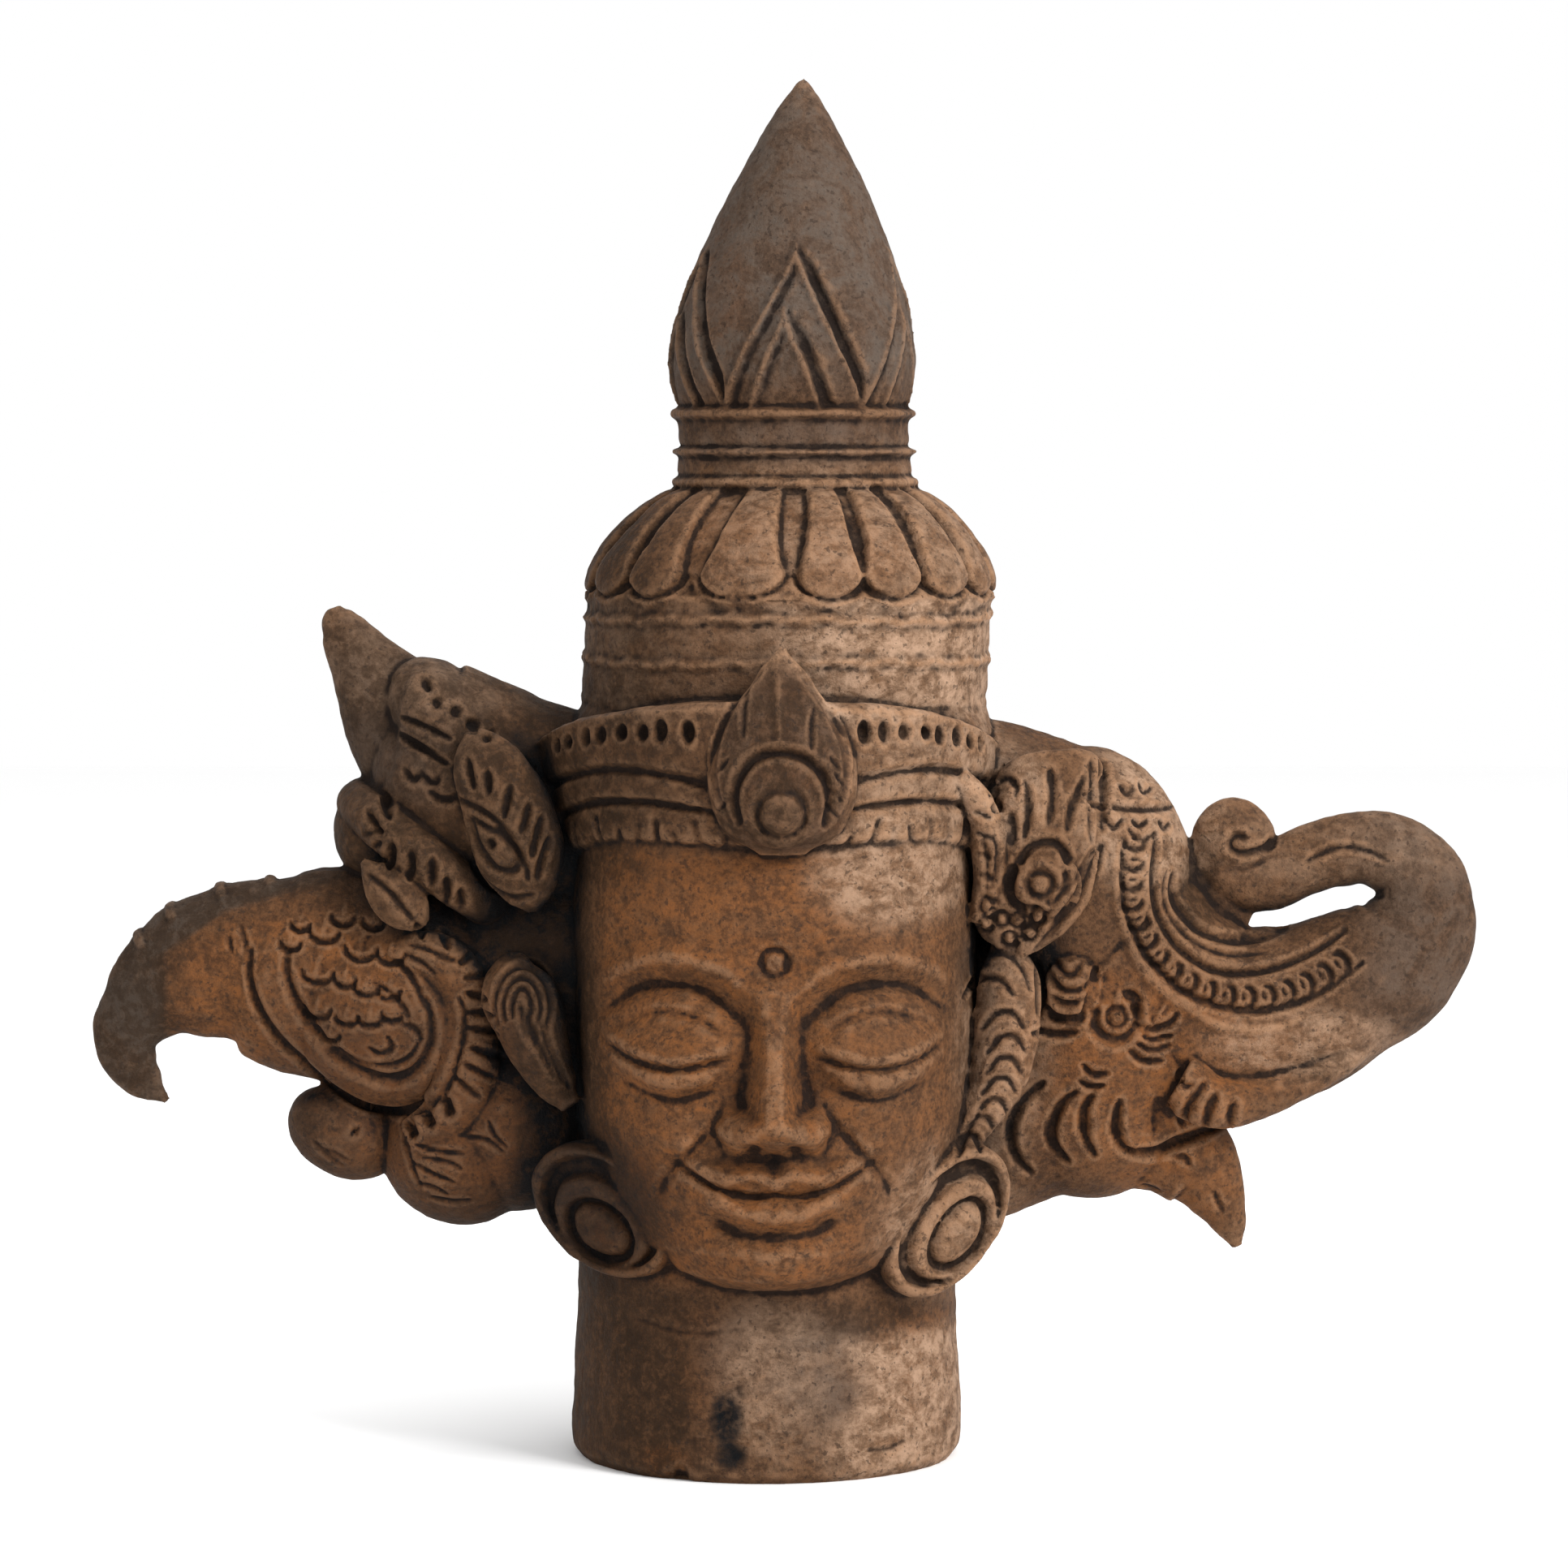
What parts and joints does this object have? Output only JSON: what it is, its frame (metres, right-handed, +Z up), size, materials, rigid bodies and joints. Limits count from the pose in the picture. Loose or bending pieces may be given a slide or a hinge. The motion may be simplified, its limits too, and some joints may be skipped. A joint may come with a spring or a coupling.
{
  "type": "deity head sculpture",
  "caption": "Fired-clay crowned deity head on a round neck, with an eagle's head growing from one side and an elephant's head from the other.",
  "frame": {"origin": "middle of the round flat underside of the neck", "axes": "+Z up the neck towards the crown, -Y the way the face looks, +X towards the elephant's head"},
  "size_m": [0.3649, 0.1472, 0.3613],
  "materials": {
    "fired_clay": "unglazed, matt, dark patina"
  },
  "bodies": {
    "root": {"deity_head": "fired_clay"}
  },
  "joints": []
}
